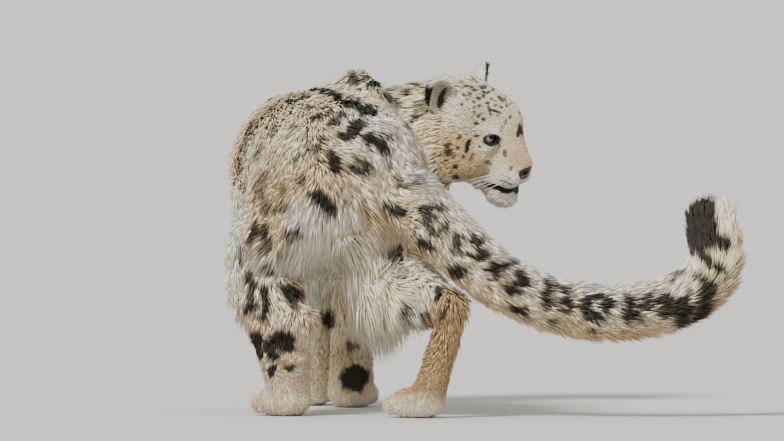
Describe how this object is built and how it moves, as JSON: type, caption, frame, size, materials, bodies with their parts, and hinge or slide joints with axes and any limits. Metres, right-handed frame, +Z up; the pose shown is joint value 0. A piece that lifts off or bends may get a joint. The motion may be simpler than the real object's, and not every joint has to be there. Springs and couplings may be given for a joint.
{
  "type": "snow leopard",
  "caption": "Life-size still figure of a standing snow leopard with a long furred tail, its head turned to look over its right side.",
  "frame": {"origin": "middle of the bounding box in plan, at floor level under the paws", "axes": "+X to the right of the view from behind, towards the tail's end, +Y away from that view towards the forelegs, +Z up"},
  "size_m": [0.9372, 0.8368, 0.6296],
  "materials": {
    "coat": "long soft fur",
    "eye": "wet and clear"
  },
  "bodies": {
    "root": {"torso": "coat", "neck": "coat", "head": "coat", "ear_right": "coat", "eye_right": "eye", "ear_left": "coat", "eye_left": "eye", "hindleg_left_upper": "coat", "hindleg_left_lower": "coat", "hindleg_left_paw": "coat", "hindleg_right_upper": "coat", "hindleg_right_lower": "coat", "hindleg_right_paw": "coat", "foreleg_left_upper": "coat", "foreleg_left_lower": "coat", "foreleg_left_paw": "coat", "foreleg_right_upper": "coat", "foreleg_right_lower": "coat", "foreleg_right_paw": "coat", "tail_1": "coat", "tail_2": "coat", "tail_3": "coat", "tail_4": "coat", "tail_5": "coat"}
  },
  "joints": []
}
